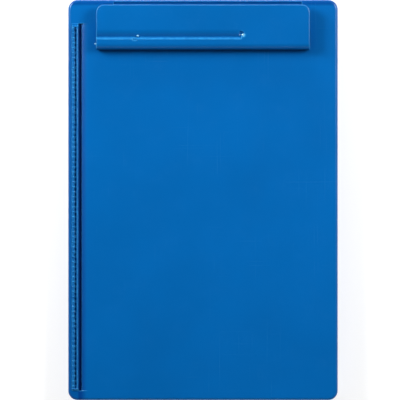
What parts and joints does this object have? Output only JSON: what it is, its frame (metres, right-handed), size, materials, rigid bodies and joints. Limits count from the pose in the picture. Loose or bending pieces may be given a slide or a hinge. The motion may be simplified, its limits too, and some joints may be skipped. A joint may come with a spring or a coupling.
{
  "type": "storage clipboard box",
  "caption": "Shallow document tray closed by a side-hinged writing board with a wide sprung clip, a pen channel in the clip, a notched edge strip and a side latch.",
  "frame": {"origin": "middle of the board's outline, on the table that the tray rests on", "axes": "+X across the board from the hinge side to the latch side, +Y along the board towards the clip, +Z out of the writing face"},
  "size_m": [0.24, 0.3564, 0.037],
  "materials": {
    "blue_plastic": "satin moulded polypropylene, one blue throughout",
    "steel": "plain zinc-plated wire and sheet",
    "rubber": "matt black"
  },
  "bodies": {
    "tray_body": {"tray": "blue_plastic", "hinge_pin": "steel", "hinge_cap_top": "blue_plastic", "hinge_cap_bottom": "blue_plastic"},
    "lid_body": {"lid": "blue_plastic", "latch_pin": "steel", "clip_pivot_pin": "steel", "pivot_retainer_left": "steel", "pivot_retainer_right": "steel", "clip_spring_left": "steel", "clip_spring_right": "steel", "clip_bracket_left": "steel", "clip_bracket_right": "steel", "rivet_left_front": "steel", "rivet_left_rear": "steel", "rivet_right_front": "steel", "rivet_right_rear": "steel"},
    "clip_body": {"clip_lever": "blue_plastic", "jaw_pad": "rubber"},
    "latch_body": {"latch": "blue_plastic"}
  },
  "joints": [
    {"name": "lid_hinge", "type": "hinge", "parent": "tray_body", "child": "lid_body", "pos_m": [-0.1164, 0, 0.017], "axis": [0, -1, 0], "range_deg": [0, 170]},
    {"name": "clip_pivot", "type": "hinge", "parent": "lid_body", "child": "clip_body", "pos_m": [0, 0.157, 0.0305], "axis": [-1, 0, 0], "range_deg": [0, 20], "stiffness_Nm_per_rad": 0.4, "springref_deg": -28.65, "deforming": ["clip_spring_left", "clip_spring_right"]},
    {"name": "latch_pivot", "type": "hinge", "parent": "lid_body", "child": "latch_body", "pos_m": [0.1171, 0, 0.02], "axis": [0, -1, 0], "range_deg": [0, 40]}
  ]
}
